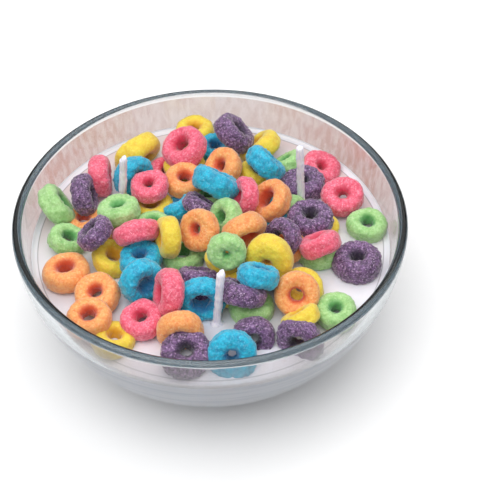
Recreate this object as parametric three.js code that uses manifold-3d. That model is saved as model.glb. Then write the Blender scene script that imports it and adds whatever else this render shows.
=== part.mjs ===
// A wax candle made as a bowl of breakfast cereal: a clear glass bowl filled with white wax
// "milk", a heap of coloured cereal loops half sunk in it, and three cotton wicks.
// Millimetres, +Z up, origin on the table under the middle of the bowl.

import * as THREE from "three";
import { mergeVertices } from "three/addons/utils/BufferGeometryUtils.js";
import Module from "manifold-3d";

const wasm = await Module();
wasm.setup();

// ---------- driving dimensions ----------

const GAP = 0.3; // air left between touching pieces

// The bowl: a round glass bowl, 150 mm across.
const RIM_RADIUS = 75;
const BOWL_HEIGHT = 59;
const FOOT_RADIUS = 37;
const WALL = 3.6;
const BELLY = 1.95; // how far down the side stays upright
const SHOULDER = 1.42; // how round the turn into the foot is
const LIP_RADIUS = WALL / 2; // the rim is rounded over
const LIP_HEIGHT = BOWL_HEIGHT - LIP_RADIUS;
const LIP_STEPS = 4;
const BOWL_STEPS = 7; // rings of facets from foot to lip
const FOOT_CROWDING = 1.5; // above 1 sets the rings closer towards the foot
const SLOPE_STEP = 0.01; // how far apart the side's slope is taken
const BOWL_SIDES = 36;

// The milk: wax filled to 16 mm under the rim.
const MILK_LEVEL = BOWL_HEIGHT - 16;

// A cereal loop: a puffed ring about as big as a shirt button.
const LOOP_RADIUS = 8.2;
const LOOP_HOLE_RADIUS = 2.4;
const LOOP_THICKNESS = 7.4;
const LOOP_SQUARENESS = 0.78; // 1 is an oval section, less is a boxier one
const LOOP_SIDES = 10; // facets round the ring
const SECTION_SIDES = 6; // facets round its section

// A wick: a waxed cotton cord that stands in the milk.
const WICK_RADIUS = 1.5;
const WICK_TIP_RADIUS = 0.9;
const WICK_ROOT = 20; // below the milk
const WICK_SIDES = 8;
const WICK_CLEARANCE = 0.45; // room that the loops leave round a wick

// The loops lie as the eater sees them: each spot is where the line of sight through a loop's
// middle meets the milk, and the loop sits on that line at its height above the milk.
const EYE = new THREE.Vector3(0, -394, 442);

// ---------- the arrangement ----------

// Each loop: colour, spot x, spot y, height, lean, clock, size, hole, bend. The lean is the angle
// between the ring's axis and the line of sight, so 0 shows the hole square on and 90 shows the
// ring edge on. The clock is the way that the face then leans, in degrees from the eater's right.
// Size and hole are relative to a plain loop, and bend is how far the ring is warped, in mm.
const HEAP_LOOPS = [
  ["green", -60.7, 23, 7, 76, 28, 1.12, 1, 0],
  ["purple", -50, 29, 9, 76, 5, 1.02, 1, 0],
  ["pink", -44, 40, 8, 83, 0, 1.05, 1, 0],
  ["orange", -49.5, 14, 2, 46, 90, 0.88, 1, 0],
  ["blue", -30.4, 39, 7, 45, -30, 1.04, 1, 0],
  ["pink", -24, 33, 12, 42, 100, 0.9, 0.9, 0],
  ["green", -36, 19.5, 11, 60, 97, 1, 0.8, 0],
  ["green", -55.5, 4, 4, 45, 60, 0.88, 1, 0],
  ["purple", -45, 7, 14, 74, 130, 0.96, 1, 0],
  ["pink", -29, 8, 14, 86, 97, 1.04, 1, 2.2],
  ["yellow", -38, -7, 3, 45, 60, 0.98, 1, 0],
  ["orange", -55, -13.8, 4, 49, 95, 1.16, 1.1, 0],
  ["orange", -43, -25.2, 4.5, 33, 115, 1.04, 0.8, 0],
  ["orange", -45.5, -36.7, 7, 38, 95, 0.96, 1.1, 0],
  ["yellow", -36.2, -47.4, 2, 50, 75, 0.91, 1, 0],
  ["pink", -16.5, -25.6, 11, 74, 175, 1.1, 1, 0],
  ["blue", -27, -7.5, 7, 48, 95, 1, 0.8, 0],
  ["blue", -26.6, -19, 9, 46, -45, 1.06, 1.1, 0],
  ["green", -11, -7, 2, 46, 90, 1, 1.1, 0],
  ["yellow", -16.5, 4, 14, 79, 180, 0.98, 1, 0],
  ["orange", -4.3, 7.5, 14, 33, 180, 0.99, 0.7, 0],
  ["purple", -3.5, 20.5, 10, 80, 60, 0.9, 1, 0],
  ["blue", -12, 21, 5, 78, 120, 0.92, 1, 0],
  ["yellow", -23.5, 20.5, 3, 46, 90, 1.1, 1, 0],
  ["green", -22.5, 11, 7, 62, 90, 0.82, 1, 0],
  ["orange", -10, 36, 9, 38, 85, 0.98, 1, 0],
  ["blue", 2.8, 34.4, 17, 84, 62, 1.2, 1, 1.2],
  ["pink", -10, 56, 13, 43, 128, 1.15, 1, 0],
  ["pink", -17, 41, 3, 46, 90, 0.95, 1, 0],
  ["blue", 3, 55, 5, 46, 90, 0.85, 1, 0],
  ["purple", 11, 64, 12, 72, 45, 1.08, 1, 0],
  ["orange", 6, 43.5, 12, 40, 150, 0.95, 0.9, 0],
  ["yellow", 21.6, 54.8, 5, 78, 128, 1.08, 1, 0],
  ["blue", 23, 45, 14, 82, 50, 1.05, 1, 0],
  ["green", 32.4, 44.4, 4, 78, 120, 0.85, 1, 0],
  ["yellow", 18.5, 38, 6, 60, 60, 0.9, 1, 0],
  ["pink", 14.2, 26, 15, 66, 175, 0.92, 0.8, 0],
  ["orange", 24.4, 22.9, 13, 48, 152, 1.04, 1.2, 0],
  ["green", 33, 15, 3, 60, 0, 0.92, 1, 0],
  ["purple", 38, 32.2, 3, 44, 90, 1.01, 0.6, 0],
  ["pink", 45.2, 40.8, 2, 36, 60, 0.98, 0.6, 0],
  ["purple", 39.3, 12.2, 10, 45, 90, 1.07, 0.9, 0],
  ["yellow", 43, 7, 2, 46, 90, 0.88, 1, 0],
  ["purple", 27.5, 1.5, 12, 34, 185, 0.96, 1.1, 0],
  ["pink", 42, -2, 11, 78, 115, 1.02, 1, 0.8],
  ["orange", 13, 6.5, 17, 72, -62, 1.06, 1, 0.8],
  ["green", 6, 13.9, 13, 48, 165, 0.93, 0.8, 0],
  ["yellow", 22, -9.3, 13, 34, -110, 1.15, 0.4, 0],
  ["green", 6, -4.5, 18.5, 25, -100, 0.87, 0.3, 0],
  ["blue", 17.5, -18, 17, 80, 76, 0.96, 1, 0],
  ["yellow", 4.5, -8.5, 10, 46, 90, 0.82, 1, 0],
  ["purple", -5, -18, 6, 82, 85, 0.95, 1, 0],
  ["blue", -4, -28.8, 8, 38, -90, 1.08, 1.2, 0],
  ["purple", 11.2, -26.6, 12, 78, 76, 1.02, 1, 0.8],
  ["green", 14.5, -34, 2, 50, 90, 1.04, 1, 0],
  ["pink", -26, -38.4, 5, 38, 110, 0.95, 0.9, 0],
  ["orange", -12.2, -44.3, 6, 50, -90, 1.06, 1, 0],
  ["purple", -10.1, -54.8, 3.2, 18, 95, 1.06, 0.8, 0],
  ["blue", 6.5, -55.9, 3.8, 22, -90, 1.04, 0.7, 0],
  ["purple", 14.5, -48.5, 2, 25, -90, 0.96, 0.9, 0],
  ["purple", 31.1, -49.8, 4, 45, -110, 1.05, 1, 0],
  ["yellow", 32.2, -40.4, 7, 78, 122, 0.88, 1, 0],
  ["orange", 31.5, -28, 9, 8, 270, 0.98, 0.85, 0],
  ["yellow", 33.5, -25, 4, 25, 90, 1, 1, 0],
];

// Loops that lie on the milk clear of the heap: the same values after the piece's own name.
const LOOSE_LOOPS = [
  ["loop_yellow_back_left", "yellow", -29.4, 53.2, 5, 75, -54, 1.22, 1, 0],
  ["loop_yellow_back", "yellow", -5.5, 66, 4, 50, 90, 0.94, 1, 0],
  ["loop_pink_right", "pink", 53, 24, 6, 32, 100, 1, 0.8, 0],
  ["loop_green_right", "green", 61.2, 7.5, 3, 40, 90, 0.96, 0.9, 0],
  ["loop_purple_right", "purple", 55.6, -12.5, 3, 46, 95, 1.2, 0.8, 0],
  ["loop_green_front_right", "green", 45.3, -37.4, 4, 38, 90, 0.97, 0.9, 0],
];

// What the upper loops rest on: low mounds of broken cereal, each x, y, radius, height.
const MOUNDS = [
  [-39, -3, 16, 9],
  [-41, 16, 15, 8],
  [-23, 13, 16, 9],
  [-18, -9, 15, 9],
  [0, -4, 18, 12],
  [4, 16, 17, 12],
  [-8, 34, 17, 9],
  [16, 34, 15, 9],
  [26, 8, 16, 9],
  [13, -24, 18, 13],
  [30, -14, 15, 8],
  [-18, -31, 12, 6],
  [-16, -43, 7, 4],
  [10, -54.5, 5, 3],
  [16, -43, 6, 3.5],
];
const MOUND_SIDES = 6;
const MOUND_STEPS = 3;

// The wicks: name, x, y, height above the milk, how far the top leans over to the right.
const WICKS = [
  ["wick_left", -34.5, 21, 27, 2],
  ["wick_middle", 1.5, -41, 27, 1.9],
  ["wick_right", 36.2, 19.2, 31.5, -1.5],
];

const LOOP_COLOURS = {
  orange: 0xf2914f,
  pink: 0xf2557c,
  yellow: 0xf7dc33,
  green: 0x8fd06a,
  blue: 0x2fb4d8,
  purple: 0x76508f,
};

// ---------- shaping helpers ----------

// The shape with its shared points merged and its collapsed triangles dropped.
function closed(geometry) {
  const bare = geometry.clone();
  bare.deleteAttribute("normal");
  bare.deleteAttribute("uv");
  const merged = mergeVertices(bare, 1e-4);
  const corners = merged.index.array;
  const kept = [];
  for (let i = 0; i < corners.length; i += 3) {
    const [a, b, c] = [corners[i], corners[i + 1], corners[i + 2]];
    if (a !== b && b !== c && c !== a) kept.push(a, b, c);
  }
  merged.setIndex(kept);
  return merged;
}

function solid(geometry) {
  const merged = closed(geometry);
  return new wasm.Manifold(new wasm.Mesh({
    numProp: 3,
    vertProperties: Float32Array.from(merged.attributes.position.array),
    triVerts: Uint32Array.from(merged.index.array),
  }));
}

function geometryOf(manifold) {
  const mesh = manifold.getMesh();
  const geometry = new THREE.BufferGeometry();
  geometry.setAttribute("position", new THREE.BufferAttribute(mesh.vertProperties, 3));
  geometry.setIndex(new THREE.BufferAttribute(mesh.triVerts, 1));
  geometry.computeVertexNormals();
  return geometry;
}

// A profile of [radius, height] points turned about Z.
function turned(points, sides) {
  const lathe = new THREE.LatheGeometry(points.map(([r, z]) => new THREE.Vector2(r, z)), sides);
  return lathe.rotateX(Math.PI / 2);
}

function joined(solids) {
  return solids.reduce((whole, piece) => whole.add(piece));
}

function named(name, geometry, material) {
  const mesh = new THREE.Mesh(geometry, material);
  mesh.name = name;
  return mesh;
}

// ---------- the bowl and its milk ----------

// The outside of the bowl: its radius at a height.
function bowlRadius(z) {
  const depth = (BOWL_HEIGHT - z) / BOWL_HEIGHT;
  const swell = Math.max(0, 1 - depth ** BELLY) ** (1 / SHOULDER);
  return FOOT_RADIUS + (RIM_RADIUS - FOOT_RADIUS) * swell;
}

// The bowl's side from foot to lip as [radius, height], moved inwards square to the curve.
// The rings of facets are closest near the foot, where the side turns most.
function sideCurve(inset) {
  const points = [];
  for (let i = 0; i <= BOWL_STEPS; i++) {
    const z = LIP_HEIGHT * Math.sin((i / BOWL_STEPS) * (Math.PI / 2)) ** FOOT_CROWDING;
    const low = bowlRadius(Math.max(0, z - SLOPE_STEP));
    const high = bowlRadius(Math.min(BOWL_HEIGHT, z + SLOPE_STEP));
    const tangent = new THREE.Vector2(high - low, 2 * SLOPE_STEP).normalize();
    points.push([bowlRadius(z) - tangent.y * inset, z + tangent.x * inset]);
  }
  return points;
}

// Half a circle over the top of the wall.
function lipCurve() {
  const points = [];
  const middle = bowlRadius(LIP_HEIGHT) - LIP_RADIUS;
  for (let i = 1; i < LIP_STEPS; i++) {
    const angle = (i / LIP_STEPS) * Math.PI;
    points.push([middle + LIP_RADIUS * Math.cos(angle), LIP_HEIGHT + LIP_RADIUS * Math.sin(angle)]);
  }
  return points;
}

function bowlGeometry() {
  const inside = sideCurve(WALL).reverse();
  const floor = inside[inside.length - 1][1];
  return turned([[0, 0], ...sideCurve(0), ...lipCurve(), ...inside, [0, floor]], BOWL_SIDES);
}

function milkGeometry(wickHoles) {
  const side = sideCurve(WALL + GAP);
  const floor = side[0][1];
  const above = side.findIndex(([, z]) => z > MILK_LEVEL);
  const [lowRadius, lowZ] = side[above - 1];
  const [highRadius, highZ] = side[above];
  const top = THREE.MathUtils.mapLinear(MILK_LEVEL, lowZ, highZ, lowRadius, highRadius);
  const profile = [[0, floor], ...side.slice(0, above), [top, MILK_LEVEL], [0, MILK_LEVEL]];
  return geometryOf(solid(turned(profile, BOWL_SIDES)).subtract(joined(wickHoles)));
}

// ---------- wicks ----------

function wickSolid([, x, y, height, lean], extra) {
  const foot = MILK_LEVEL - WICK_ROOT - extra;
  const top = MILK_LEVEL + height;
  const profile = [
    [0, foot],
    [WICK_RADIUS + extra, foot],
    [WICK_RADIUS + extra, top - 2 * WICK_RADIUS],
    [WICK_TIP_RADIUS + extra, top + extra],
    [0, top + extra],
  ];
  const wick = turned(profile, WICK_SIDES);
  const place = wick.attributes.position;
  for (let i = 0; i < place.count; i++) {
    const along = (place.getZ(i) - MILK_LEVEL) / height;
    place.setX(i, place.getX(i) + lean * along);
  }
  return solid(wick.translate(x, y, 0));
}

// ---------- cereal loops ----------

function rounded(value) {
  return Math.sign(value) * Math.abs(value) ** LOOP_SQUARENESS;
}

// A ring lying square to its own Y axis, warped by the bend along X.
function ring(size, hole, bend) {
  const outer = LOOP_RADIUS * size;
  const inner = LOOP_HOLE_RADIUS * size * hole;
  const profile = [];
  for (let i = 0; i <= SECTION_SIDES; i++) {
    const angle = ((i % SECTION_SIDES) / SECTION_SIDES) * 2 * Math.PI;
    profile.push(new THREE.Vector2(
      (outer + inner) / 2 + ((outer - inner) / 2) * rounded(Math.cos(angle)),
      (LOOP_THICKNESS / 2) * size * rounded(Math.sin(angle)),
    ));
  }
  const lathe = new THREE.LatheGeometry(profile, LOOP_SIDES);
  const place = lathe.attributes.position;
  for (let i = 0; i < place.count; i++) {
    const across = place.getX(i) / LOOP_RADIUS;
    place.setY(i, place.getY(i) + bend * (across ** 2 - 0.5));
  }
  return lathe;
}

function loopSolid([, x, y, height, lean, clock, size, hole, bend]) {
  const spot = new THREE.Vector3(x, y, MILK_LEVEL);
  const sight = EYE.clone().sub(spot);
  const middle = spot.clone().addScaledVector(sight, height / sight.z);
  const toEye = sight.normalize();
  const right = new THREE.Vector3(0, 0, 1).cross(toEye).normalize();
  const up = toEye.clone().cross(right);
  const leanAngle = THREE.MathUtils.degToRad(lean);
  const clockAngle = THREE.MathUtils.degToRad(clock);
  const axis = toEye.multiplyScalar(Math.cos(leanAngle))
    .addScaledVector(right, Math.sin(leanAngle) * Math.cos(clockAngle))
    .addScaledVector(up, Math.sin(leanAngle) * Math.sin(clockAngle));
  const level = axis.clone().cross(new THREE.Vector3(0, 0, 1)).normalize();
  const turn = new THREE.Matrix4().makeBasis(level, axis, level.clone().cross(axis));
  turn.setPosition(middle);
  return solid(ring(size, hole, bend).applyMatrix4(turn));
}

// All that lies under a loop's cut: the milk and the gap over it.
function underMilk() {
  const depth = BOWL_HEIGHT;
  const block = new THREE.BoxGeometry(4 * RIM_RADIUS, 4 * RIM_RADIUS, depth);
  return solid(block.translate(0, 0, MILK_LEVEL + GAP - depth / 2));
}

function moundSolid([x, y, radius, height]) {
  const profile = [[0, MILK_LEVEL]];
  for (let i = 0; i < MOUND_STEPS; i++) {
    const angle = (i / MOUND_STEPS) * (Math.PI / 2);
    profile.push([radius * Math.cos(angle), MILK_LEVEL + height * Math.sin(angle)]);
  }
  profile.push([0, MILK_LEVEL + height]);
  return solid(turned(profile, MOUND_SIDES).translate(x, y, 0));
}

function heapGeometry(cuts) {
  const pieces = [...MOUNDS.map(moundSolid), ...HEAP_LOOPS.map(loopSolid)];
  return geometryOf(joined(pieces).subtract(joined(cuts)));
}

// ---------- finishes ----------

const glass = new THREE.MeshStandardMaterial({
  color: 0xdfe8e6, roughness: 0.05, metalness: 0, transparent: true, opacity: 0.35,
});
const wax = new THREE.MeshStandardMaterial({ color: 0xf3ecee, roughness: 0.35, metalness: 0 });
const cotton = new THREE.MeshStandardMaterial({ color: 0xf2eff2, roughness: 0.7, metalness: 0 });

function cereal(colour) {
  return new THREE.MeshStandardMaterial({ color: LOOP_COLOURS[colour], roughness: 0.75, metalness: 0 });
}

// ---------- the candle ----------

const bowlOfCereal = new THREE.Group();
const wickRoom = WICKS.map((wick) => wickSolid(wick, WICK_CLEARANCE));

bowlOfCereal.add(named("glass_bowl", closed(bowlGeometry()), glass));
bowlOfCereal.add(named("milk", milkGeometry(wickRoom), wax));
bowlOfCereal.add(named("cereal_heap", heapGeometry([underMilk(), ...wickRoom]), cereal("orange")));
for (const [name, ...loop] of LOOSE_LOOPS) {
  const piece = loopSolid(loop).subtract(underMilk());
  bowlOfCereal.add(named(name, geometryOf(piece), cereal(loop[0])));
}
for (const wick of WICKS) {
  bowlOfCereal.add(named(wick[0], geometryOf(wickSolid(wick, 0)), cotton));
}

export default bowlOfCereal;
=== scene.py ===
# %% [markdown]
# # A candle that looks like a bowl of cereal
#
# The real thing is a small clear glass bowl. White wax is poured into it in place of milk, rings
# of sugared cereal are heaped on the wax before it sets, and three cotton wicks stand in it.
# We build it in the order in which a maker would: the bowl, the milk, the wicks, then the rings.
#
# Every piece is modelled at its real size and in its real place, in metres. The plain solids of
# the same object come in first, and each piece that we make takes the place of one of them.

# %% Load the plain solids and note their size
import math
import random

import bpy
from mathutils import Matrix, Vector


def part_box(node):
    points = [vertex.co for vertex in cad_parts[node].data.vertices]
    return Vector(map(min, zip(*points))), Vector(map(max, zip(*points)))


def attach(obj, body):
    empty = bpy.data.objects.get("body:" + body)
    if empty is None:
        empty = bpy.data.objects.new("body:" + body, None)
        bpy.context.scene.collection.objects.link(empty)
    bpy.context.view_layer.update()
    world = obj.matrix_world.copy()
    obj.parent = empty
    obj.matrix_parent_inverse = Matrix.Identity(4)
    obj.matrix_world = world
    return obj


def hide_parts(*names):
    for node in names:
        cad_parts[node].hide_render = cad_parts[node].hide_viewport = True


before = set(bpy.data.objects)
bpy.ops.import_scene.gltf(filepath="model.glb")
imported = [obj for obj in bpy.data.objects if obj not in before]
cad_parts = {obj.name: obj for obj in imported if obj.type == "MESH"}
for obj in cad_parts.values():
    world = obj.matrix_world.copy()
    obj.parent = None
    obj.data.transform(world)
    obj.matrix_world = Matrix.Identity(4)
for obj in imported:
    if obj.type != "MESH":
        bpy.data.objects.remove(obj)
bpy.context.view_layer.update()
MM = 0.001
BODY = "root"
print("plain solids:", sorted(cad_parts))

# %% [markdown]
# ## A few habits
#
# Operators work on whatever is selected, just as they do by hand. So before each new piece we
# deselect everything, and we leave each finished piece with its place in its mesh and its object
# at the origin. A few small helpers keep that tidy.


# %% Helpers for objects
def deselect():
    bpy.ops.object.select_all(action="DESELECT")


def pick(piece):
    deselect()
    piece.select_set(True)
    bpy.context.view_layer.objects.active = piece


def fix_place(piece):
    """Move the object's place, turn and scale into its mesh."""
    pick(piece)
    bpy.ops.object.transform_apply(location=True, rotation=True, scale=True)


def settle(piece, name):
    fix_place(piece)
    piece.name = name
    piece.data.name = name
    return piece


# %% Helpers for modifiers and joins
def apply_all(piece):
    pick(piece)
    for modifier in list(piece.modifiers):
        bpy.ops.object.modifier_apply(modifier=modifier.name)


def join(pieces, name):
    deselect()
    for piece in pieces:
        piece.select_set(True)
    bpy.context.view_layer.objects.active = pieces[0]
    bpy.ops.object.join()
    return settle(bpy.context.view_layer.objects.active, name)


def choose(piece, test):
    """Go into edit mode with only the points that pass the test selected."""
    pick(piece)
    bpy.ops.object.mode_set(mode="EDIT")
    bpy.ops.mesh.select_mode(type="VERT")
    bpy.ops.mesh.select_all(action="DESELECT")
    bpy.ops.object.mode_set(mode="OBJECT")
    for vertex in piece.data.vertices:
        vertex.select = test(vertex.co)
    bpy.ops.object.mode_set(mode="EDIT")


def report(piece):
    size = [round(side / MM, 1) for side in piece.dimensions]
    faces = len(piece.data.polygons)
    print(f"{piece.name}: {size[0]} x {size[1]} x {size[2]} mm, {faces} faces")


# %% [markdown]
# ## The bowl's form
#
# The bowl is pressed glass: a flat foot, a side that swells out and then stands nearly upright,
# a wall of even thickness and a rim that the fire has rounded. Its side is a quarter of an oval
# that is a little squared off, so one formula gives the radius at any height. The inside is the
# same curve moved inwards by the wall. Points set by eye would leave flats that glass shows up.

# %% The bowl's driving sizes
low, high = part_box("glass_bowl")
RIM_RADIUS = (high.x - low.x) / 2
BOWL_HEIGHT = high.z
FOOT_RADIUS = 37 * MM
WALL = 3.6 * MM
# How squared off the oval is in height and across: 2 and 2 would make it a plain oval.
BELLY = 1.95
SHOULDER = 1.42
# Above 1, the points of the side crowd towards the foot, where it curves most.
CROWDING = 1.6
# Two points closer than this are one.
TINY = 0.01 * MM
LIP_RADIUS = WALL / 2
LIP_HEIGHT = BOWL_HEIGHT - LIP_RADIUS
MILK_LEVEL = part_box("milk")[1].z
print(f"rim radius {RIM_RADIUS / MM:.1f} mm, height {BOWL_HEIGHT / MM:.1f} mm")


# %% The side as a curve
def bowl_radius(z):
    depth = min(1, max(0, (BOWL_HEIGHT - z) / BOWL_HEIGHT))
    return FOOT_RADIUS + (RIM_RADIUS - FOOT_RADIUS) * max(0, 1 - depth**BELLY) ** (1 / SHOULDER)


def side_curve(inset, steps):
    """The side's points from the foot to the lip, moved in at right angles to the side."""
    points = []
    for i in range(steps + 1):
        z = LIP_HEIGHT * math.sin(i / steps * math.pi / 2) ** CROWDING
        low_z = max(0, z - TINY)
        run = bowl_radius(z + TINY) - bowl_radius(low_z)
        rise = z + TINY - low_z
        slope = math.hypot(run, rise)
        points.append((bowl_radius(z) - rise / slope * inset, z + run / slope * inset))
    return points


def lip_curve(steps):
    middle = bowl_radius(LIP_HEIGHT) - LIP_RADIUS
    turns = [math.pi * i / steps for i in range(1, steps)]
    return [(middle + LIP_RADIUS * math.cos(a), LIP_HEIGHT + LIP_RADIUS * math.sin(a)) for a in turns]


print("inner radius at the milk:", round((bowl_radius(MILK_LEVEL) - WALL) / MM, 1), "mm")

# %% [markdown]
# ## Turning a profile
#
# A round bowl is made as a potter makes it: draw half the section, then turn it round the axis.
# We start from a plane merged into one point, extrude that point along the profile, and spin the
# line through a full circle. The doubles where the circle closes, and on the axis, are merged.


# %% Spin a line round the upright axis
def spin_round(steps):
    """In edit mode: spin all that is there through a full circle, and close the surface."""
    bpy.ops.mesh.select_all(action="SELECT")
    bpy.ops.mesh.spin(steps=steps, angle=2 * math.pi, center=(0, 0, 0), axis=(0, 0, 1))
    bpy.ops.mesh.select_all(action="SELECT")
    bpy.ops.mesh.remove_doubles(threshold=TINY)
    bpy.ops.mesh.normals_make_consistent(inside=False)
    bpy.ops.object.mode_set(mode="OBJECT")


# %% Draw a profile and turn it
def turn_profile(points, steps, name):
    deselect()
    bpy.ops.mesh.primitive_plane_add(size=MM, location=(0, 0, 0))
    piece = bpy.context.object
    bpy.ops.object.mode_set(mode="EDIT")
    bpy.ops.mesh.select_all(action="SELECT")
    bpy.ops.mesh.merge(type="CENTER")
    start = points[0]
    bpy.ops.transform.translate(value=(start[0], 0, start[1]))
    for before, after in zip(points, points[1:]):
        step = (after[0] - before[0], 0, after[1] - before[1])
        bpy.ops.mesh.extrude_region_move(TRANSFORM_OT_translate={"value": step})
    spin_round(steps)
    bpy.ops.object.shade_smooth()
    return settle(piece, name)


# %% Turn the glass bowl
SIDE_STEPS = 40
LIP_STEPS = 12
ROUND_STEPS = 160
outside = side_curve(0, SIDE_STEPS)
inside = side_curve(WALL, SIDE_STEPS)[::-1]
glass_profile = [(0, 0), *outside, *lip_curve(LIP_STEPS), *inside, (0, inside[-1][1])]
bowl = turn_profile(glass_profile, ROUND_STEPS, "clear_bowl")
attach(bowl, BODY)
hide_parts("glass_bowl")
report(bowl)

# %% [markdown]
# ## Painted shade and reflection on the wall
#
# Above the milk, the inside of the wall carries a painted tint: grey painted shade, and a rosy
# painted reflection of the rings. Each point of the glass is told how much of that tint it carries,
# as an attribute of the mesh, and the glass finish reads that. An image would have to be wrapped
# round the wall, and an attribute goes wherever the mesh goes.

# %% Mark how much painted tint each point carries
# The painted tint is full at the back, and thinner towards the front.
PAINTED_TINT_START = -50 * MM
PAINTED_TINT_FULL = 28 * MM
LEAST_PAINTED_TINT = 0.42
painted_tint = bowl.data.attributes.new("painted_tint_share", "FLOAT", "POINT")
for vertex, share in zip(bowl.data.vertices, painted_tint.data):
    x, y, z = vertex.co
    on_the_inside = bowl_radius(z) - math.hypot(x, y) > WALL / 2
    if on_the_inside and MILK_LEVEL < z < LIP_HEIGHT:
        share.value = min(1, max(LEAST_PAINTED_TINT, (y - PAINTED_TINT_START) / (PAINTED_TINT_FULL - PAINTED_TINT_START)))
print(sum(share.value > 0 for share in painted_tint.data), "points of the glass carry some film")

# %% [markdown]
# ## The milk
#
# The milk is wax, poured level and left to set. It clings to the glass, so its edge creeps up in
# a little fillet, and it reaches a hair into the wall: light that goes from glass to wax must not
# cross a film of air, which would look like a mirror. It is turned like the bowl, on the bowl's
# own inside curve, so that the two always fit.

# %% Turn the milk
REACH = 0.15 * MM
CREEP = 1.2 * MM
# The fillet's points and where it ends, in from the edge and up, as shares of its height.
CREEP_POINTS = ((0, 1), (0.5, 0.3))
CREEP_END = 1.6
# How far the wall still moves out for each step up, at the milk's level.
WALL_SLOPE = 0.12
TOP_STEPS = 12
milk_side = [point for point in side_curve(WALL - REACH, SIDE_STEPS) if point[1] < MILK_LEVEL]
milk_edge = milk_side[-1][0] + (MILK_LEVEL - milk_side[-1][1]) * WALL_SLOPE
creep = [(milk_edge - back * CREEP, MILK_LEVEL + up * CREEP) for back, up in CREEP_POINTS]
level = milk_edge - CREEP_END * CREEP
top = [(level * (1 - i / TOP_STEPS), MILK_LEVEL) for i in range(TOP_STEPS)]
milk_profile = [(0, milk_side[0][1]), *milk_side, *creep, *top, (0, MILK_LEVEL)]
milk = turn_profile(milk_profile, ROUND_STEPS, "wax_milk")
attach(milk, BODY)
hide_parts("milk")
report(milk)

# %% [markdown]
# ## The wicks
#
# A wick is a cotton cord dipped in wax, stiff and a little uneven, and snipped at a slant. The
# milk creeps up its foot as it sets. So its profile is turned like the bowl's, with a flare where
# it leaves the milk; then the tip is tilted for the snip, and a cloud texture roughens the cord.

# %% The wick's driving sizes
WICK_RADIUS = 1.5 * MM
WICK_BURY = 4 * MM
WICK_SIDES = 24
WICK_STEP = 0.5 * MM
FLARE = 1.1 * MM
FLARE_HEIGHT = 0.5 * MM
# The cord draws in a little where it is snipped, and ends in a low blunt tip.
SNIP_SHARE = 0.92
BLUNT_HEIGHT = 0.4 * MM
TIP_HEIGHT = 0.5 * MM
print(f"a wick is {2 * WICK_RADIUS / MM:.0f} mm thick and starts {WICK_BURY / MM:.0f} mm down")


# %% Turn one wick, standing at the origin
def make_wick(name, length, slant, point):
    profile = [(0, -WICK_BURY)]
    for i in range(int((length + WICK_BURY) / WICK_STEP)):
        z = i * WICK_STEP - WICK_BURY
        flare = FLARE * math.exp(-max(0, z) / FLARE_HEIGHT)
        profile.append((WICK_RADIUS + flare, z))
    profile.append((WICK_RADIUS * SNIP_SHARE, length))
    profile.append((WICK_RADIUS * point, length + BLUNT_HEIGHT))
    profile.append((0, length + TIP_HEIGHT))
    wick = turn_profile(profile, WICK_SIDES, name)
    choose(wick, lambda co: co.z > length - WICK_STEP / 2)
    bpy.ops.transform.rotate(
        value=slant, orient_axis="Y", orient_type="GLOBAL", center_override=(0, 0, length)
    )
    bpy.ops.object.mode_set(mode="OBJECT")
    return wick


# %% Helpers for relief
def cloud(name, size, depth):
    texture = bpy.data.textures.new(name, "CLOUDS")
    texture.noise_scale = size
    texture.noise_depth = depth
    return texture


def roughen(piece, layers):
    """Displace the piece by each layer's texture, where it stands, and by the layer's strength."""
    for texture, strength in layers:
        layer = piece.modifiers.new(texture.name, "DISPLACE")
        layer.texture = texture
        layer.texture_coords = "GLOBAL"
        layer.strength = strength
    apply_all(piece)


LUMPS = (cloud("wick_lumps", 2.6 * MM, 2), 0.7 * MM)
FIBRES = (cloud("wick_fibres", 0.7 * MM, 2), 0.28 * MM)
print("a wick's relief:", ", ".join(texture.name for texture, _ in (LUMPS, FIBRES)))

# %% Stand the three wicks in the milk
# The plain solid, how far its top leans over to the right, the snip's slant in radians, and the
# tip's width as a share of the cord's.
WICKS = (
    ("wick_left", 2 * MM, 0.9, 0.5),
    ("wick_middle", 1.9 * MM, 0.75, 0.6),
    ("wick_right", -1.5 * MM, 0.1, 0.75),
)
# How far below the milk's level the plain solid starts.
WICK_ROOT = 20 * MM
wicks = []
for node, lean, slant, point in WICKS:
    low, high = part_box(node)
    length = high.z - MILK_LEVEL - TIP_HEIGHT
    # The plain solid leans over its whole length, so its box's middle is off the wick's foot.
    foot = (low.x + high.x) / 2 - lean / 2 * (1 - WICK_ROOT / (high.z - MILK_LEVEL))
    wick = make_wick(node.replace("wick", "cord"), length, slant, point)
    wick.rotation_euler = (0, math.atan2(lean, length), 0)
    wick.location = (foot, (low.y + high.y) / 2, MILK_LEVEL)
    fix_place(wick)
    roughen(wick, (LUMPS, FIBRES))
    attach(wick, BODY)
    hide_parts(node)
    report(wick)
    wicks.append(wick)

# %% [markdown]
# ## One cereal ring
#
# A ring is a puffed loop of dough. Its section is a soft rectangle, a little taller than it is
# wide, turned round a hole that may be nearly shut or wide open. A torus would be too round. So we
# draw the section as a plane, round its corners with a bevel, and spin it. One ring is modelled
# for each size of hole, and copied.

# %% The ring's driving sizes
RING_RADIUS = 8.2 * MM
HOLE_RADIUS = 2.4 * MM
RING_THICKNESS = 7.4 * MM
# The radius of the section's corners, and the most that it may be as a share of the width.
CORNER = 2.75 * MM
CORNER_SHARE = 0.47
CORNER_STEPS = 9
# A straight side of the section is longer than this, a step of a rounded corner shorter.
STRAIGHT = 0.9 * MM
SIDE_CUTS = 3
RING_STEPS = 96
# How far from the hole the bare dough and its painted shade reach.
DOUGH_AND_SHADE_REACH = 2.4 * MM
print(f"a ring is {2 * RING_RADIUS / MM:.1f} mm across and {RING_THICKNESS / MM:.1f} mm thick")


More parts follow.
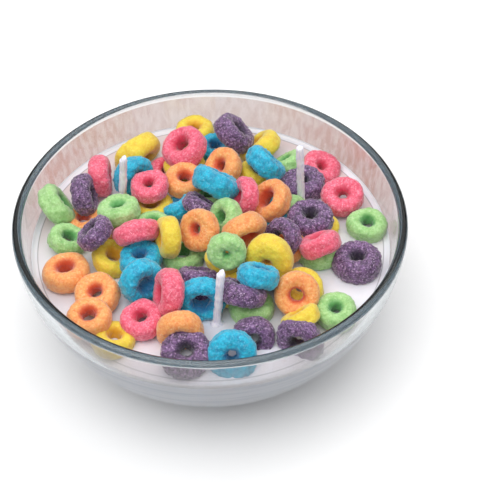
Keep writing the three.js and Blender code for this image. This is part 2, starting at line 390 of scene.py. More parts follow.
# %% Model a ring with a given hole
def ring_with_hole(hole):
    """A ring whose hole is this share of the full hole, marked with how much bare dough and painted
    shade each point carries.
    """
    inner = HOLE_RADIUS * hole
    depth = RING_RADIUS - inner
    corner = min(CORNER, CORNER_SHARE * depth)
    deselect()
    bpy.ops.mesh.primitive_plane_add(size=1, rotation=(math.pi / 2, 0, 0))
    ring = bpy.context.object
    ring.scale = (depth, RING_THICKNESS, 1)
    ring.location = ((RING_RADIUS + inner) / 2, 0, 0)
    bpy.ops.object.transform_apply(location=True, rotation=True, scale=True)
    bpy.ops.object.mode_set(mode="EDIT")
    bpy.ops.mesh.select_all(action="SELECT")
    bpy.ops.mesh.bevel(offset=corner, offset_type="OFFSET", segments=CORNER_STEPS, affect="VERTICES")
    bpy.ops.mesh.select_all(action="SELECT")
    bpy.ops.mesh.delete(type="ONLY_FACE")
    bpy.ops.mesh.select_mode(type="EDGE")
    bpy.ops.mesh.select_all(action="DESELECT")
    bpy.ops.object.mode_set(mode="OBJECT")
    for edge in ring.data.edges:
        a, b = (ring.data.vertices[i].co for i in edge.vertices)
        edge.select = (a - b).length > STRAIGHT
    bpy.ops.object.mode_set(mode="EDIT")
    bpy.ops.mesh.subdivide(number_cuts=SIDE_CUTS)
    spin_round(RING_STEPS)
    # Bare dough and painted shade: the colour deepens towards the hole.
    bare_and_shaded = ring.data.attributes.new("bare_dough_and_shade", "FLOAT", "POINT")
    for vertex, share in zip(ring.data.vertices, bare_and_shaded.data):
        share.value = max(0, 1 - (math.hypot(vertex.co.x, vertex.co.y) - inner) / DOUGH_AND_SHADE_REACH)
    ring.name = f"pattern_ring_{int(100 * hole)}"
    return ring


patterns = {1: ring_with_hole(1)}
report(patterns[1])

# %% [markdown]
# ## How the rings lie
#
# The heap is laid ring by ring, as the eater sees it from the front of the bowl. Each
# ring has a spot where the eater's line of sight meets the milk, and sits on that line at its own
# height. Its lean is the angle between its axis and that line, so 0 shows the hole square on and
# 90 shows the ring edge on. Its clock is the way that it leans, in degrees from the eater's right.

# %% The heap, ring by ring
EYE = Vector((0, -394, 442)) * MM

# Colour, spot x, spot y, height, lean, clock, size, hole, bend. Lengths are in millimetres, angles
# in degrees, and size and hole are shares of the model ring's. The bend lifts the ring's ends.
HEAP = [
    ("green", -60.7, 23, 7, 76, 28, 1.12, 1, 0),
    ("purple", -50, 29, 9, 76, 5, 1.02, 1, 0),
    ("pink", -44, 40, 8, 83, 0, 1.05, 1, 0),
    ("orange", -49.5, 14, 2, 46, 90, 0.88, 1, 0),
    ("blue", -30.4, 39, 7, 45, -30, 1.04, 1, 0),
    ("pink", -24, 33, 12, 42, 100, 0.9, 0.9, 0),
    ("green", -36, 19.5, 11, 60, 97, 1, 0.8, 0),
    ("green", -55.5, 4, 4, 45, 60, 0.88, 1, 0),
    ("purple", -45, 7, 14, 74, 130, 0.96, 1, 0),
    ("pink", -29, 8, 14, 86, 97, 1.04, 1, 2.2),
    ("yellow", -38, -7, 3, 45, 60, 0.98, 1, 0),
    ("orange", -55, -13.8, 4, 49, 95, 1.16, 1.1, 0),
    ("orange", -43, -25.2, 4.5, 33, 115, 1.04, 0.8, 0),
    ("orange", -45.5, -36.7, 7, 38, 95, 0.96, 1.1, 0),
    ("yellow", -36.2, -47.4, 2, 50, 75, 0.91, 1, 0),
    ("pink", -16.5, -25.6, 11, 74, 175, 1.1, 1, 0),
    ("blue", -27, -7.5, 7, 48, 95, 1, 0.8, 0),
    ("blue", -26.6, -19, 9, 46, -45, 1.06, 1.1, 0),
    ("green", -11, -7, 2, 46, 90, 1, 1.1, 0),
    ("yellow", -16.5, 4, 14, 79, 180, 0.98, 1, 0),
    ("orange", -4.3, 7.5, 14, 33, 180, 0.99, 0.7, 0),
    ("purple", -3.5, 20.5, 10, 80, 60, 0.9, 1, 0),
    ("blue", -12, 21, 5, 78, 120, 0.92, 1, 0),
    ("yellow", -23.5, 20.5, 3, 46, 90, 1.1, 1, 0),
    ("green", -22.5, 11, 7, 62, 90, 0.82, 1, 0),
    ("orange", -10, 36, 9, 38, 85, 0.98, 1, 0),
    ("blue", 2.8, 34.4, 17, 84, 62, 1.2, 1, 1.2),
    ("pink", -10, 56, 13, 43, 128, 1.15, 1, 0),
    ("pink", -17, 41, 3, 46, 90, 0.95, 1, 0),
    ("blue", 3, 55, 5, 46, 90, 0.85, 1, 0),
    ("purple", 11, 64, 12, 72, 45, 1.08, 1, 0),
    ("orange", 6, 43.5, 12, 40, 150, 0.95, 0.9, 0),
    ("yellow", 21.6, 54.8, 5, 78, 128, 1.08, 1, 0),
    ("blue", 23, 45, 14, 82, 50, 1.05, 1, 0),
    ("green", 32.4, 44.4, 4, 78, 120, 0.85, 1, 0),
    ("yellow", 18.5, 38, 6, 60, 60, 0.9, 1, 0),
    ("pink", 14.2, 26, 15, 66, 175, 0.92, 0.8, 0),
    ("orange", 24.4, 22.9, 13, 48, 152, 1.04, 1.2, 0),
    ("green", 33, 15, 3, 60, 0, 0.92, 1, 0),
    ("purple", 38, 32.2, 3, 44, 90, 1.01, 0.6, 0),
    ("pink", 45.2, 40.8, 2, 36, 60, 0.98, 0.6, 0),
    ("purple", 39.3, 12.2, 10, 45, 90, 1.07, 0.9, 0),
    ("yellow", 43, 7, 2, 46, 90, 0.88, 1, 0),
    ("purple", 27.5, 1.5, 12, 34, 185, 0.96, 1.1, 0),
    ("pink", 42, -2, 11, 78, 115, 1.02, 1, 0.8),
    ("orange", 13, 6.5, 17, 72, -62, 1.06, 1, 0.8),
    ("green", 6, 13.9, 13, 48, 165, 0.93, 0.8, 0),
    ("yellow", 22, -9.3, 13, 34, -110, 1.15, 0.4, 0),
    ("green", 6, -4.5, 18.5, 25, -100, 0.87, 0.3, 0),
    ("blue", 17.5, -18, 17, 80, 76, 0.96, 1, 0),
    ("yellow", 4.5, -8.5, 10, 46, 90, 0.82, 1, 0),
    ("purple", -5, -18, 6, 82, 85, 0.95, 1, 0),
    ("blue", -4, -28.8, 8, 38, -90, 1.08, 1.2, 0),
    ("purple", 11.2, -26.6, 12, 78, 76, 1.02, 1, 0.8),
    ("green", 14.5, -34, 2, 50, 90, 1.04, 1, 0),
    ("pink", -26, -38.4, 5, 38, 110, 0.95, 0.9, 0),
    ("orange", -12.2, -44.3, 6, 50, -90, 1.06, 1, 0),
    ("purple", -10.1, -54.8, 3.2, 18, 95, 1.06, 0.8, 0),
    ("blue", 6.5, -55.9, 3.8, 22, -90, 1.04, 0.7, 0),
    ("purple", 14.5, -48.5, 2, 25, -90, 0.96, 0.9, 0),
    ("purple", 31.1, -49.8, 4, 45, -110, 1.05, 1, 0),
    ("yellow", 32.2, -40.4, 7, 78, 122, 0.88, 1, 0),
    ("orange", 31.5, -28, 9, 8, 270, 0.98, 0.85, 0),
    ("yellow", 33.5, -25, 4, 25, 90, 1, 1, 0),
]
print(len(HEAP), "rings show in the heap")

# %% The rings under the heap and the ones beside it
# Under the heap lie more rings, of which only a glimpse shows between the upper ones.
UNDER = [
    ("orange", -36, 12, 3, 46, 90, 1, 1, 0),
    ("yellow", -27, 1, 3, 50, 60, 1, 1, 0),
    ("green", -1, 2, 5, 46, 90, 1, 1, 0),
    ("pink", 12, -4, 6, 40, 90, 1, 1, 0),
    ("blue", 13, 15, 4, 46, 90, 0.85, 1, 0),
    ("purple", 22, -15, 5, 52, 80, 1, 1, 0),
    ("orange", 28, -3, 5, 46, 100, 1, 1, 0),
    ("blue", 25, 14, 4, 46, 90, 1, 1, 0),
    ("yellow", 13, 15, 5, 40, 90, 1, 1, 0),
    ("pink", 4, 7, 4, 46, 90, 1, 1, 0),
    ("green", 0, 26, 4, 46, 90, 1, 1, 0),
    ("orange", 6, 36, 4, 46, 90, 1, 1, 0),
    ("purple", 24, 33, 3, 46, 90, 1, 1, 0),
    ("yellow", -10, 44, 4, 46, 90, 1, 1, 0),
    ("green", 41, -6.5, 3, 46, 90, 0.95, 1, 0),
    ("yellow", 6, -24, 4, 46, 90, 1, 1, 0),
    ("purple", -4, -22, 3, 50, 90, 1, 1, 0),
]
# Beside the heap: the plain solid that each ring replaces, then the same values.
BESIDE = [
    ("loop_yellow_back_left", "yellow", -29.4, 53.2, 5, 75, -54, 1.22, 1, 0),
    ("loop_yellow_back", "yellow", -5.5, 66, 4, 50, 90, 0.94, 1, 0),
    ("loop_pink_right", "pink", 53, 24, 6, 32, 100, 1, 0.8, 0),
    ("loop_green_right", "green", 61.2, 7.5, 3, 40, 90, 0.96, 0.9, 0),
    ("loop_purple_right", "purple", 55.6, -12.5, 3, 46, 95, 1.2, 0.8, 0),
    ("loop_green_front_right", "green", 45.3, -37.4, 4, 38, 90, 0.97, 0.9, 0),
]
print(len(UNDER), "rings lie under it and", len(BESIDE), "beside it")

# %% [markdown]
# ## Laying a ring
#
# A ring's own frame has its axis along Z and its bend along X. Laying 87 rings by three angles
# each would be guesswork. So we build the turned frame from the line of sight and the ring's two
# angles, and hand that matrix to the object.


# %% The turned frame of a ring
def place_of(spot_x, spot_y, height, lean, clock):
    spot = Vector((spot_x * MM, spot_y * MM, MILK_LEVEL))
    sight = EYE - spot
    middle = spot + sight * (height * MM / sight.z)
    to_eye = sight.normalized()
    right = Vector((0, 0, 1)).cross(to_eye).normalized()
    up = to_eye.cross(right)
    lean, clock = math.radians(lean), math.radians(clock)
    axis = to_eye * math.cos(lean)
    axis += (right * math.cos(clock) + up * math.sin(clock)) * math.sin(lean)
    level = axis.cross(Vector((0, 0, 1))).normalized()
    turn = Matrix((level, axis.cross(level), axis)).transposed().to_4x4()
    return Matrix.Translation(middle) @ turn


first = place_of(*HEAP[0][1:6]).translation
print("the first ring's middle, in mm:", [round(along / MM, 1) for along in first])

# %% [markdown]
# ## A crust of sugar
#
# No two rings are alike, and none is smooth. Three layers of relief give the crust: broad lumps
# that make the outline uneven, knobs about two millimetres across, and cobbles of a millimetre.
# Each layer is a Displace modifier on a procedural texture that reads world coordinates, so every
# ring gets its own relief from its own place.

# %% Layers of the crust
broad = cloud("broad_lumps", 8 * MM, 1)
knobs = cloud("knobs", 1.9 * MM, 1)
cobbles = bpy.data.textures.new("cobbles", "VORONOI")
cobbles.noise_scale = 1.3 * MM
BROAD_DEPTH = 1.3 * MM
KNOB_DEPTH = 0.7 * MM
COBBLE_DEPTH = 0.4 * MM
# Some kinds are smooth and some craggy: this scales the knobs and the cobbles.
CRAGS = {"orange": 0.6, "pink": 0.85, "yellow": 0.55, "green": 0.9, "blue": 1.3, "purple": 1.4}
print(f"the deepest relief is {BROAD_DEPTH / MM:.1f} mm from the bottom to the top")


def add_crust(ring, crags):
    small = ((knobs, crags * KNOB_DEPTH), (cobbles, -crags * COBBLE_DEPTH))
    roughen(ring, ((broad, BROAD_DEPTH), *small))


# %% Curl a ring out of its plane
def curl_ring(ring, bend):
    # A bend works in the XY plane, so the ring is stood up for it and laid down again.
    ring.rotation_euler = (math.pi / 2, 0, 0)
    fix_place(ring)
    curl = ring.modifiers.new("curl", "SIMPLE_DEFORM")
    curl.deform_method = "BEND"
    curl.deform_axis = "Z"
    # A shallow arc rises by a quarter of its angle times half its length.
    curl.angle = 4 * bend * MM / RING_RADIUS
    apply_all(ring)
    ring.rotation_euler = (-math.pi / 2, 0, 0)
    fix_place(ring)


# %% Lay one ring
chance = random.Random(7)
# A ring's width and depth differ from a true round by chance, within these shares.
NARROW, WIDE = 0.95, 1.05


def lay_ring(colour, spot_x, spot_y, height, lean, clock, size, hole, bend):
    if hole not in patterns:
        patterns[hole] = ring_with_hole(hole)
    pick(patterns[hole])
    bpy.ops.object.duplicate()
    ring = bpy.context.object
    squash = [chance.uniform(NARROW, WIDE) for _ in range(2)]
    spin = Matrix.Rotation(chance.uniform(0, 2 * math.pi), 4, "Z")
    if bend:
        spin = Matrix.Identity(4)
        curl_ring(ring, bend)
    shape = Matrix.Diagonal((squash[0], squash[1], 1, 1)) @ spin
    ring.matrix_world = place_of(spot_x, spot_y, height, lean, clock) @ shape @ Matrix.Scale(size, 4)
    fix_place(ring)
    add_crust(ring, CRAGS[colour])
    return ring


# %% [markdown]
# ## The whole heap
#
# Each ring takes its own finish, and rings of one colour share it. So the rings of the heap are
# joined colour by colour into six pieces, where 81 loose ones would be a nuisance to handle. The
# rings beside the heap stay pieces of their own, because they can be told apart.

# %% Lay them all, and join the heap colour by colour
COLOURS = ("orange", "pink", "yellow", "green", "blue", "purple")
laid = {colour: [] for colour in COLOURS}
for values in HEAP + UNDER:
    laid[values[0]].append(lay_ring(*values))
rings = {}
for colour in COLOURS:
    rings[colour] = [join(laid[colour], f"rings_{colour}")]
    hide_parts("cereal_heap")
for node, *values in BESIDE:
    ring = settle(lay_ring(*values), node.replace("loop", "ring"))
    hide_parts(node)
    rings[values[0]].append(ring)
for colour in COLOURS:
    for piece in rings[colour]:
        pick(piece)
        bpy.ops.object.shade_smooth()
        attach(piece, BODY)
        report(piece)
for pattern in patterns.values():
    bpy.data.objects.remove(pattern)

# %% [markdown]
# ## Finishes
#
# Each finish is a Principled shader with its detail worked out from Object coordinates, so the
# grain goes through the piece as it does in sugar and wax. Every finish is made of the same few
# steps: some noise or a place, a ramp that says where it counts, and a mix of two tones by that.
# So these steps come first, as helpers.


# %% Helpers for colours and materials
def linear(red, green, blue):
    """The colour that shows on a screen as these three, each from 0 to 255."""

    def one(value):
        value /= 255
        return value / 12.92 if value <= 0.04045 else ((value + 0.055) / 1.055) ** 2.4

    return one(red), one(green), one(blue), 1


def new_material(name):
    material = bpy.data.materials.new(name)
    material.use_nodes = True
    return material, material.node_tree.nodes, material.node_tree.links


# %% Helpers that say where a point is
def place_node(nodes):
    return nodes.new("ShaderNodeTexCoord").outputs["Object"]


def along_node(nodes, links, axis):
    """How far the point is along X, Y or Z."""
    split = nodes.new("ShaderNodeSeparateXYZ")
    links.new(place_node(nodes), split.inputs["Vector"])
    return split.outputs[axis]


def radius_node(nodes, links):
    """How far the point is from the upright axis."""
    flat = nodes.new("ShaderNodeVectorMath")
    flat.operation = "MULTIPLY"
    flat.inputs[1].default_value = (1, 1, 0)
    links.new(place_node(nodes), flat.inputs[0])
    length = nodes.new("ShaderNodeVectorMath")
    length.operation = "LENGTH"
    links.new(flat.outputs["Vector"], length.inputs[0])
    return length.outputs["Value"]


def attribute_node(nodes, name):
    attribute = nodes.new("ShaderNodeAttribute")
    attribute.attribute_name = name
    return attribute.outputs["Fac"]


# %% Helpers for grain
def noise_node(nodes, links, size, detail, stretch=1):
    """Noise whose spots are size metres across, and stretch times as tall."""
    scale = nodes.new("ShaderNodeMapping")
    scale.inputs["Scale"].default_value = (1 / size, 1 / size, 1 / (size * stretch))
    noise = nodes.new("ShaderNodeTexNoise")
    noise.inputs["Scale"].default_value = 1
    noise.inputs["Detail"].default_value = detail
    links.new(place_node(nodes), scale.inputs["Vector"])
    links.new(scale.outputs["Vector"], noise.inputs["Vector"])
    return noise.outputs["Fac"]


def cells_node(nodes, links, size, output):
    """Cells that are size metres across: their Color, or the Distance to their middle."""
    cells = nodes.new("ShaderNodeTexVoronoi")
    cells.inputs["Scale"].default_value = 1 / size
    links.new(place_node(nodes), cells.inputs["Vector"])
    return cells.outputs[output]


# %% Helpers that mix tones
def map_node(nodes, links, value, start, end, low, high):
    """A smooth ramp from low, where the value is start, to high, where it is end."""
    ramp = nodes.new("ShaderNodeMapRange")
    ramp.interpolation_type = "SMOOTHSTEP"
    ramp.inputs["From Min"].default_value = start
    ramp.inputs["From Max"].default_value = end
    ramp.inputs["To Min"].default_value = low
    ramp.inputs["To Max"].default_value = high
    links.new(value, ramp.inputs["Value"])
    return ramp.outputs["Result"]


def mix_node(nodes, links, share, under, over):
    """The over tone laid on the under tone, as thick as the share says."""
    mix = nodes.new("ShaderNodeMix")
    mix.data_type = "RGBA"
    links.new(share, mix.inputs["Factor"])
    for side, colour in (("A", under), ("B", over)):
        if isinstance(colour, tuple):
            mix.inputs[side].default_value = colour
        else:
            links.new(colour, mix.inputs[side])
    return mix.outputs["Result"]


def times(nodes, links, one, other):
    product = nodes.new("ShaderNodeMath")
    product.operation = "MULTIPLY"
    links.new(one, product.inputs[0])
    links.new(other, product.inputs[1])
    return product.outputs["Value"]


def bump_node(nodes, links, height, strength, depth, shader):
    bump = nodes.new("ShaderNodeBump")
    bump.inputs["Strength"].default_value = strength
    bump.inputs["Distance"].default_value = depth
    links.new(height, bump.inputs["Height"])
    links.new(bump.outputs["Normal"], shader.inputs["Normal"])


# %% [markdown]
# ## Glass
#
# Pressed glass is clear, yet it takes a little from every ray, and the more the longer the ray's
# way through it: the rim is dark because we look along the wall there. So the shader lets light
# through, and the solid glass absorbs. A dark rim that is painted on would be wrong from every
# other side. On top lies a painted tint, grey painted shade and a rosy painted reflection of the
# rings, as thickly as the wall's attribute says.

# %% The glass's tint, and the painted shade and reflection on the wall
GLASS_TINT = (0.92, 0.88, 0.88, 1)
# The painted tint is grey painted shade in the middle of the back, and a rosy painted reflection of
# the rings at the sides.
PAINTED_GREY_SHADE = (0.45, 0.3, 0.265, 1)
PAINTED_ROSY_REFLECTION = (0.345, 0.125, 0.095, 1)
ROSY_START = 0.1 * RIM_RADIUS
ROSY_FULL = 0.9 * RIM_RADIUS
# The painted tint lies in streaks, three times as tall as they are wide, and is thinner between them.
STREAK = 2.2 * MM
STREAK_STRETCH = 3
BETWEEN_STREAKS = 0.78


# Paints shade and the rings' reflection into the glass's colour, on the inside of the wall.
def painted_wall_tint(nodes, links):
    sideways = nodes.new("ShaderNodeMath")
    sideways.operation = "ABSOLUTE"
    links.new(along_node(nodes, links, "X"), sideways.inputs[0])
    rosy = map_node(nodes, links, sideways.outputs["Value"], ROSY_START, ROSY_FULL, 0, 1)
    painted_tint = mix_node(nodes, links, rosy, PAINTED_GREY_SHADE, PAINTED_ROSY_REFLECTION)
    grain = noise_node(nodes, links, STREAK, 3, STREAK_STRETCH)
    streaks = map_node(nodes, links, grain, 0.3, 0.7, BETWEEN_STREAKS, 1)
    cover = times(nodes, links, attribute_node(nodes, "painted_tint_share"), streaks)
    return mix_node(nodes, links, cover, GLASS_TINT, painted_tint)


# %% Clear glass
# How much the glass takes from red, green and blue, per metre of it.
GLASS_LOSS = (30, 21, 19)
GLASS_DENSITY = 50
passed = [math.exp(-loss * WALL) for loss in GLASS_LOSS]
print("one wall lets through:", ", ".join(f"{share:.0%}" for share in passed))


def glass_finish():
    material, nodes, links = new_material("clear_glass")
    shader = nodes["Principled BSDF"]
    links.new(painted_wall_tint(nodes, links), shader.inputs["Base Color"])
    shader.inputs["Roughness"].default_value = 0.015
    shader.inputs["IOR"].default_value = 1.5
    shader.inputs["Transmission Weight"].default_value = 1
    depth = nodes.new("ShaderNodeVolumeAbsorption")
    depth.inputs["Density"].default_value = GLASS_DENSITY
    depth.inputs["Color"].default_value = tuple(1 - loss / GLASS_DENSITY for loss in GLASS_LOSS) + (1,)
    links.new(depth.outputs["Volume"], nodes["Material Output"].inputs["Volume"])
    return material


# %% [markdown]
# ## Wax
#
# White wax lets light a little way in before it comes out again, so its shadows are soft, and it
# has a dull gloss and a level that is not quite flat. Faint level bands are painted into its colour
# as painted reflections, and show through the glass. A fine dark line round its edge is painted
# shade, and a rosy tint inside that at the back is painted shade tinted by the rings' colour. The
# line and the tint are circles, so they are worked out from the distance to the axis, and lie
# exactly round whichever way the bowl is seen.

# %% The painted shade at the wax's edge
LINE_RADIUS = milk_edge - 2.4 * MM
LINE_WIDTH = 0.35 * MM
# Painted shade: a fine dark line round the wax's edge, near the wall.
EDGE_LINE_SHADE_TONE = (150, 146, 152)
# Painted shade tinted by the rings' colour, inside the line at the back.
ROSY_SHADE_START = milk_edge - 17 * MM
ROSY_SHADE_TONE = (212, 184, 178)
# How thickly each lies at its strongest: at 1 it would hide the wax.
EDGE_LINE_SHADE = 0.75
ROSY_SHADE = 0.6
# The painted rosy shade grows from the first place towards the second, across the bowl and up to its
# top.
TOWARDS_BACK = (-20 * MM, 25 * MM)
TOWARDS_TOP = (MILK_LEVEL - 0.3 * MM, MILK_LEVEL - 0.1 * MM)
print(f"the line runs {LINE_RADIUS / MM:.1f} mm from the axis")


# Paints shade into the wax's colour: a dark line round its edge, and a rosy tint inside it at the
# back.
def painted_edge_shade(nodes, links, tone):
    radius = radius_node(nodes, links)
    on_top = map_node(nodes, links, along_node(nodes, links, "Z"), *TOWARDS_TOP, 0, 1)
    at_back = map_node(nodes, links, along_node(nodes, links, "Y"), *TOWARDS_BACK, 0, 1)
    rising = map_node(nodes, links, radius, ROSY_SHADE_START, LINE_RADIUS, 0, ROSY_SHADE)
    falling = map_node(nodes, links, radius, LINE_RADIUS, LINE_RADIUS + LINE_WIDTH, 1, 0)
    ring = times(nodes, links, rising, falling)
    rosy_shade = times(nodes, links, ring, times(nodes, links, on_top, at_back))
    tone = mix_node(nodes, links, rosy_shade, tone, linear(*ROSY_SHADE_TONE))
    start = map_node(nodes, links, radius, LINE_RADIUS - LINE_WIDTH, LINE_RADIUS, 0, EDGE_LINE_SHADE)
    line = times(nodes, links, times(nodes, links, start, falling), on_top)
    return mix_node(nodes, links, line, tone, linear(*EDGE_LINE_SHADE_TONE))


# %% White wax
WAX_TONE = (238, 236, 243)
# Painted reflections: faint darker level bands in the wax's colour.
PAINTED_BAND_TONE = (221, 221, 230)
# A patch of the painted bands is wide, and the bands are so thin that their noise is flattened to this
# share.
WAX_PATCH = 40 * MM
PAINTED_BAND_FLATNESS = 0.045
RIPPLE = 5.5 * MM
RIPPLE_DEPTH = 0.3 * MM
RIPPLE_STRENGTH = 0.15
print(f"a layer of wax is about {WAX_PATCH * PAINTED_BAND_FLATNESS / MM:.1f} mm thick")


def wax_finish():
    material, nodes, links = new_material("white_wax")
    shader = nodes["Principled BSDF"]
    layers = noise_node(nodes, links, WAX_PATCH, 3, PAINTED_BAND_FLATNESS)
    # Painted reflections: darker level bands laid into the wax's colour.
    painted_bands = map_node(nodes, links, layers, 0.35, 0.6, 1, 0)
    tone = mix_node(nodes, links, painted_bands, linear(*WAX_TONE), linear(*PAINTED_BAND_TONE))
    links.new(painted_edge_shade(nodes, links, tone), shader.inputs["Base Color"])
    shader.inputs["Roughness"].default_value = 0.32
    shader.inputs["Subsurface Weight"].default_value = 0.25
    shader.inputs["Subsurface Radius"].default_value = (1.0, 0.8, 0.7)
    shader.inputs["Subsurface Scale"].default_value = 2 * MM
    ripples = noise_node(nodes, links, RIPPLE, 3)
    bump_node(nodes, links, ripples, RIPPLE_STRENGTH, RIPPLE_DEPTH, shader)
    return material


# %% [markdown]
# ## Waxed cotton
#
# The wicks are cotton cord that has drunk wax: whiter than the milk, a little duller, with fibres
# that run up them. Real threads would be too fine to see at this size. So noise that is six times
# as tall as it is wide draws the fibres, once in the tone and once in the relief.

# %% Waxed cotton
FIBRE = 0.5 * MM
FIBRE_STRETCH = 6
FIBRE_DEPTH = 0.3 * MM
SHADED_TONE = (228, 226, 248)
COTTON_TONE = (246, 245, 255)
print(f"a fibre is {FIBRE / MM:.1f} mm wide and {FIBRE * FIBRE_STRETCH / MM:.0f} mm long")


def cotton_finish():
    material, nodes, links = new_material("waxed_cotton")
    shader = nodes["Principled BSDF"]
    fibres = noise_node(nodes, links, FIBRE, 2, FIBRE_STRETCH)
    shade = map_node(nodes, links, fibres, 0.3, 0.6, 0, 1)
    tone = mix_node(nodes, links, shade, linear(*SHADED_TONE), linear(*COTTON_TONE))
    links.new(tone, shader.inputs["Base Color"])
    shader.inputs["Roughness"].default_value = 0.45
    shader.inputs["Subsurface Weight"].default_value = 0.3
    shader.inputs["Subsurface Radius"].default_value = (1, 1, 1)
    shader.inputs["Subsurface Scale"].default_value = 1 * MM
    bump_node(nodes, links, fibres, 0.5, FIBRE_DEPTH, shader)
    return material


# %% [markdown]
# ## Sugared dough
#
# A ring's face is one colour with deeper patches, and pits deeper still. Painted shade darkens the
# furrows of the relief and the hollows between the knobs, and painted highlights, partly sugar, make
# the ridges between them pale. Specks of sugar, glossier than the dough, are painted pale and also
# stand in for painted glints. In the hole the dough is bare and carries painted shade as well. All
# six colours are made by one recipe: seven tones, each laid on the one before, as thick as a pattern
# says. Grain that is modelled would take millions of faces.

# %% The colours and the grain of the dough
# The colour of each kind's face, of the sugar on it, which is also its painted highlight, of its
# pits, which is also its painted shade, and of the dough in its hole, which also carries painted
# shade there, and how strongly it is speckled.
CEREAL = {
    "orange": ((237, 166, 94), (255, 222, 182), (222, 112, 50), (204, 62, 24), 0.6),
    "pink": ((238, 108, 134), (255, 200, 212), (204, 44, 78), (200, 38, 72), 0.7),
    "yellow": ((231, 208, 60), (255, 238, 150), (218, 170, 28), (216, 156, 22), 0.4),
    "green": ((168, 211, 140), (232, 244, 210), (104, 166, 78), (76, 152, 78), 0.42),
    "blue": ((8, 180, 213), (150, 222, 240), (0, 106, 150), (4, 98, 150), 0.48),
    "purple": ((120, 84, 132), (212, 184, 218), (34, 18, 44), (36, 22, 48), 1),
}
SUGAR_SIZE = 0.34 * MM
PIT_SIZE = 1.1 * MM
PATCH_SIZE = 2.6 * MM
CRINKLE_SIZE = 0.8 * MM
CRINKLE_DEPTH = 0.35 * MM
print(len(CEREAL), "colours of dough:", ", ".join(CEREAL))


# %% Where each tone of the dough lies
def dough_layers(nodes, links, sugar_and_glints, crinkle, colour):
    """How thick each layer lies, and its tone, from the lowest layer to the highest."""
    # The pit tone is also painted shade, the sugar tone also painted highlight, and the dough tone
    # also painted shade in the hole.
    sugar_and_highlight, pit_and_shade, dough = (linear(*rgb) for rgb in CEREAL[colour][1:4])
    speckle = CEREAL[colour][4]
    patches = noise_node(nodes, links, PATCH_SIZE, 3)
    pits = cells_node(nodes, links, PIT_SIZE, "Distance")
    hollows = nodes.new("ShaderNodeNewGeometry").outputs["Pointiness"]
    bare_and_shaded = attribute_node(nodes, "bare_dough_and_shade")
    # Each ramp starts and ends at its first two numbers, and lies as thick as its last two say.
    return (
        (map_node(nodes, links, patches, 0.3, 0.58, 0.5, 0), pit_and_shade),
        (map_node(nodes, links, pits, 0.45, 0.85, 0, 0.6 * speckle), pit_and_shade),
        # Painted shade: darker in the hollows of the relief.
        (map_node(nodes, links, hollows, 0.4, 0.5, 0.8, 0), pit_and_shade),
        (sugar_and_glints, sugar_and_highlight),
        # Painted highlight, partly sugar: paler on the ridges of the relief.
        (map_node(nodes, links, crinkle, 0.55, 0.75, 0, 0.6 * speckle), sugar_and_highlight),
        # Painted shade: darker in the furrows of the relief.
        (map_node(nodes, links, crinkle, 0.34, 0.5, 0.7 * speckle, 0), pit_and_shade),
        # Bare dough and painted shade, deepest at the hole.
        (map_node(nodes, links, bare_and_shaded, 0.15, 0.95, 0, 0.9), dough),
    )


# %% Sugared dough
def cereal_finish(colour):
    material, nodes, links = new_material(f"sugar_{colour}")
    shader = nodes["Principled BSDF"]
    speckle = CEREAL[colour][4]
    # The relief's noise, which also sets where the painted highlight and shade lie.
    crinkle = noise_node(nodes, links, CRINKLE_SIZE, 3)
    crystals = cells_node(nodes, links, SUGAR_SIZE, "Color")
    # Specks of pale sugar, which also stand in as painted glints.
    sugar_and_glints = map_node(nodes, links, crystals, 0.72, 1, 0, 0.85 * speckle)
    tone = linear(*CEREAL[colour][0])
    for share, over in dough_layers(nodes, links, sugar_and_glints, crinkle, colour):
        tone = mix_node(nodes, links, share, tone, over)
    links.new(tone, shader.inputs["Base Color"])
    # Crystals are glossier than dough.
    links.new(map_node(nodes, links, sugar_and_glints, 0, 1, 0.6, 0.3), shader.inputs["Roughness"])
    shader.inputs["Subsurface Weight"].default_value = 0.22
    shader.inputs["Subsurface Scale"].default_value = 1.5 * MM
    shader.inputs["Subsurface Radius"].default_value = (1, 0.7, 0.6)
    shader.inputs["Sheen Weight"].default_value = 0.35
    shader.inputs["Sheen Roughness"].default_value = 0.5
    bump_node(nodes, links, crinkle, 0.8, CRINKLE_DEPTH, shader)
    return material


# %% Put the finishes on
def finish(piece, material):
    piece.data.materials.clear()
    piece.data.materials.append(material)
    print(piece.name, "is", material.name)


finish(bowl, glass_finish())
finish(milk, wax_finish())
cotton = cotton_finish()
for wick in wicks:
    finish(wick, cotton)
for colour in COLOURS:
    sugar_and_highlight = cereal_finish(colour)
    for piece in rings[colour]:
        finish(piece, sugar_and_highlight)

# %% [markdown]
# ## The studio
#
# Glass and sugar show what stands round them, so the studio is plain: a pale floor of paper, two
# large soft lights, and a room with dim walls and a bright ceiling. Small hard lights would put
# hard spots on the glass, and a room of one brightness would leave its rim without a line.

# %% Floor
FLOOR_SIZE = 6
deselect()
bpy.ops.mesh.primitive_plane_add(size=FLOOR_SIZE, location=(0, 0, 0))
floor = bpy.context.object
floor.name = "floor"
paper, nodes, links = new_material("pale_floor")
nodes["Principled BSDF"].inputs["Base Color"].default_value = (0.95, 0.95, 0.95, 1)
nodes["Principled BSDF"].inputs["Roughness"].default_value = 0.9
finish(floor, paper)


# %% Lights
def soft_light(name, place, size, power):
    """A square light that faces the bowl, which stands at the origin."""
    deselect()
    bpy.ops.object.light_add(type="AREA", location=place)
    light = bpy.context.object
    light.name = name
    light.data.shape = "SQUARE"
    light.data.size = size
    light.data.energy = power
    light.rotation_euler = (-Vector(place)).to_track_quat("-Z", "Y").to_euler()
    print(f"{name} light: {size} m wide, {power} W")


soft_light("key", place=(-0.3, -0.45, 1.2), size=1.1, power=9)
soft_light("top", place=(0.3, 0.5, 1.3), size=0.9, power=3)


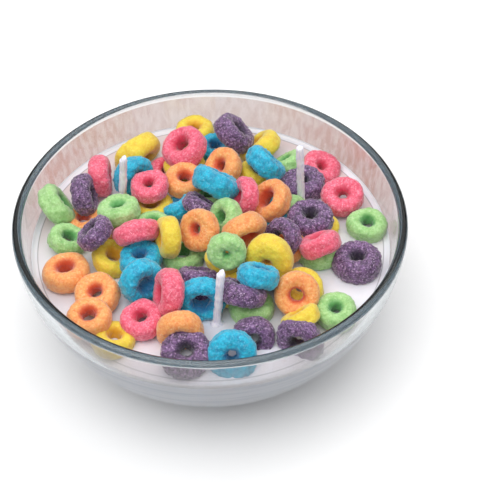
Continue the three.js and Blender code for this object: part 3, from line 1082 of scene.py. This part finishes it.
# %% The room round it
world = bpy.data.worlds.new("room")
bpy.context.scene.world = world
world.use_nodes = True
nodes, links = world.node_tree.nodes, world.node_tree.links
nodes["Background"].inputs["Color"].default_value = (1, 1, 1, 1)
# How bright the walls and the ceiling are, and how high the first end and the second starts, as
# sines of the angle over the horizon.
ROOM = (0.05, 1.0)
EDGES = (math.sin(math.radians(12)), math.sin(math.radians(36)))
direction = nodes.new("ShaderNodeTexCoord")
split = nodes.new("ShaderNodeSeparateXYZ")
links.new(direction.outputs["Generated"], split.inputs["Vector"])
room_light = map_node(nodes, links, split.outputs["Z"], *EDGES, *ROOM)
links.new(room_light, nodes["Background"].inputs["Strength"])
print(f"the walls are {ROOM[0] / ROOM[1]:.0%} as bright as the ceiling")

# %% [markdown]
# ## The camera
#
# The bowl is seen from where the eater sits, a good half metre off and a little more from above
# than from the side. A fairly long lens keeps the rim a true oval: a wide one would swell its front.

# %% Camera
SENSOR = 36
PICTURE_WIDTH = 500
# How long the lens is, in dots of the picture.
FOCAL_PIXELS = 1448.7
camera_data = bpy.data.cameras.new("camera")
camera = bpy.data.objects.new("camera", camera_data)
bpy.context.scene.collection.objects.link(camera)
camera_data.sensor_width = SENSOR
camera_data.lens = SENSOR * FOCAL_PIXELS / PICTURE_WIDTH
camera_data.clip_start = 0.01
camera.location = Vector((0, -393.63, 442.13)) * MM
LOOK = Vector((0.0268, 0.6981, -0.7155))
camera.rotation_mode = "QUATERNION"
camera.rotation_quaternion = LOOK.to_track_quat("-Z", "Y")
bpy.context.scene.camera = camera
print(f"a lens of {camera_data.lens:.0f} mm, {camera.location.length:.2f} m from the bowl's foot")

# %% [markdown]
# ## Developing the picture
#
# A ray of light may cross the wall of the bowl several times on its way, so it is allowed many
# bounces, and the light that the glass gathers is let through. The plain view transform leaves the
# colours of the dough as they were mixed.

# %% How the picture is developed
scene = bpy.context.scene
scene.view_settings.view_transform = "Standard"
scene.cycles.use_denoising = True
scene.cycles.max_bounces = 16
scene.cycles.transmission_bounces = 12
scene.cycles.glossy_bounces = 6
scene.cycles.caustics_refractive = True
scene.cycles.caustics_reflective = True
print("a ray may bounce", scene.cycles.max_bounces, "times")
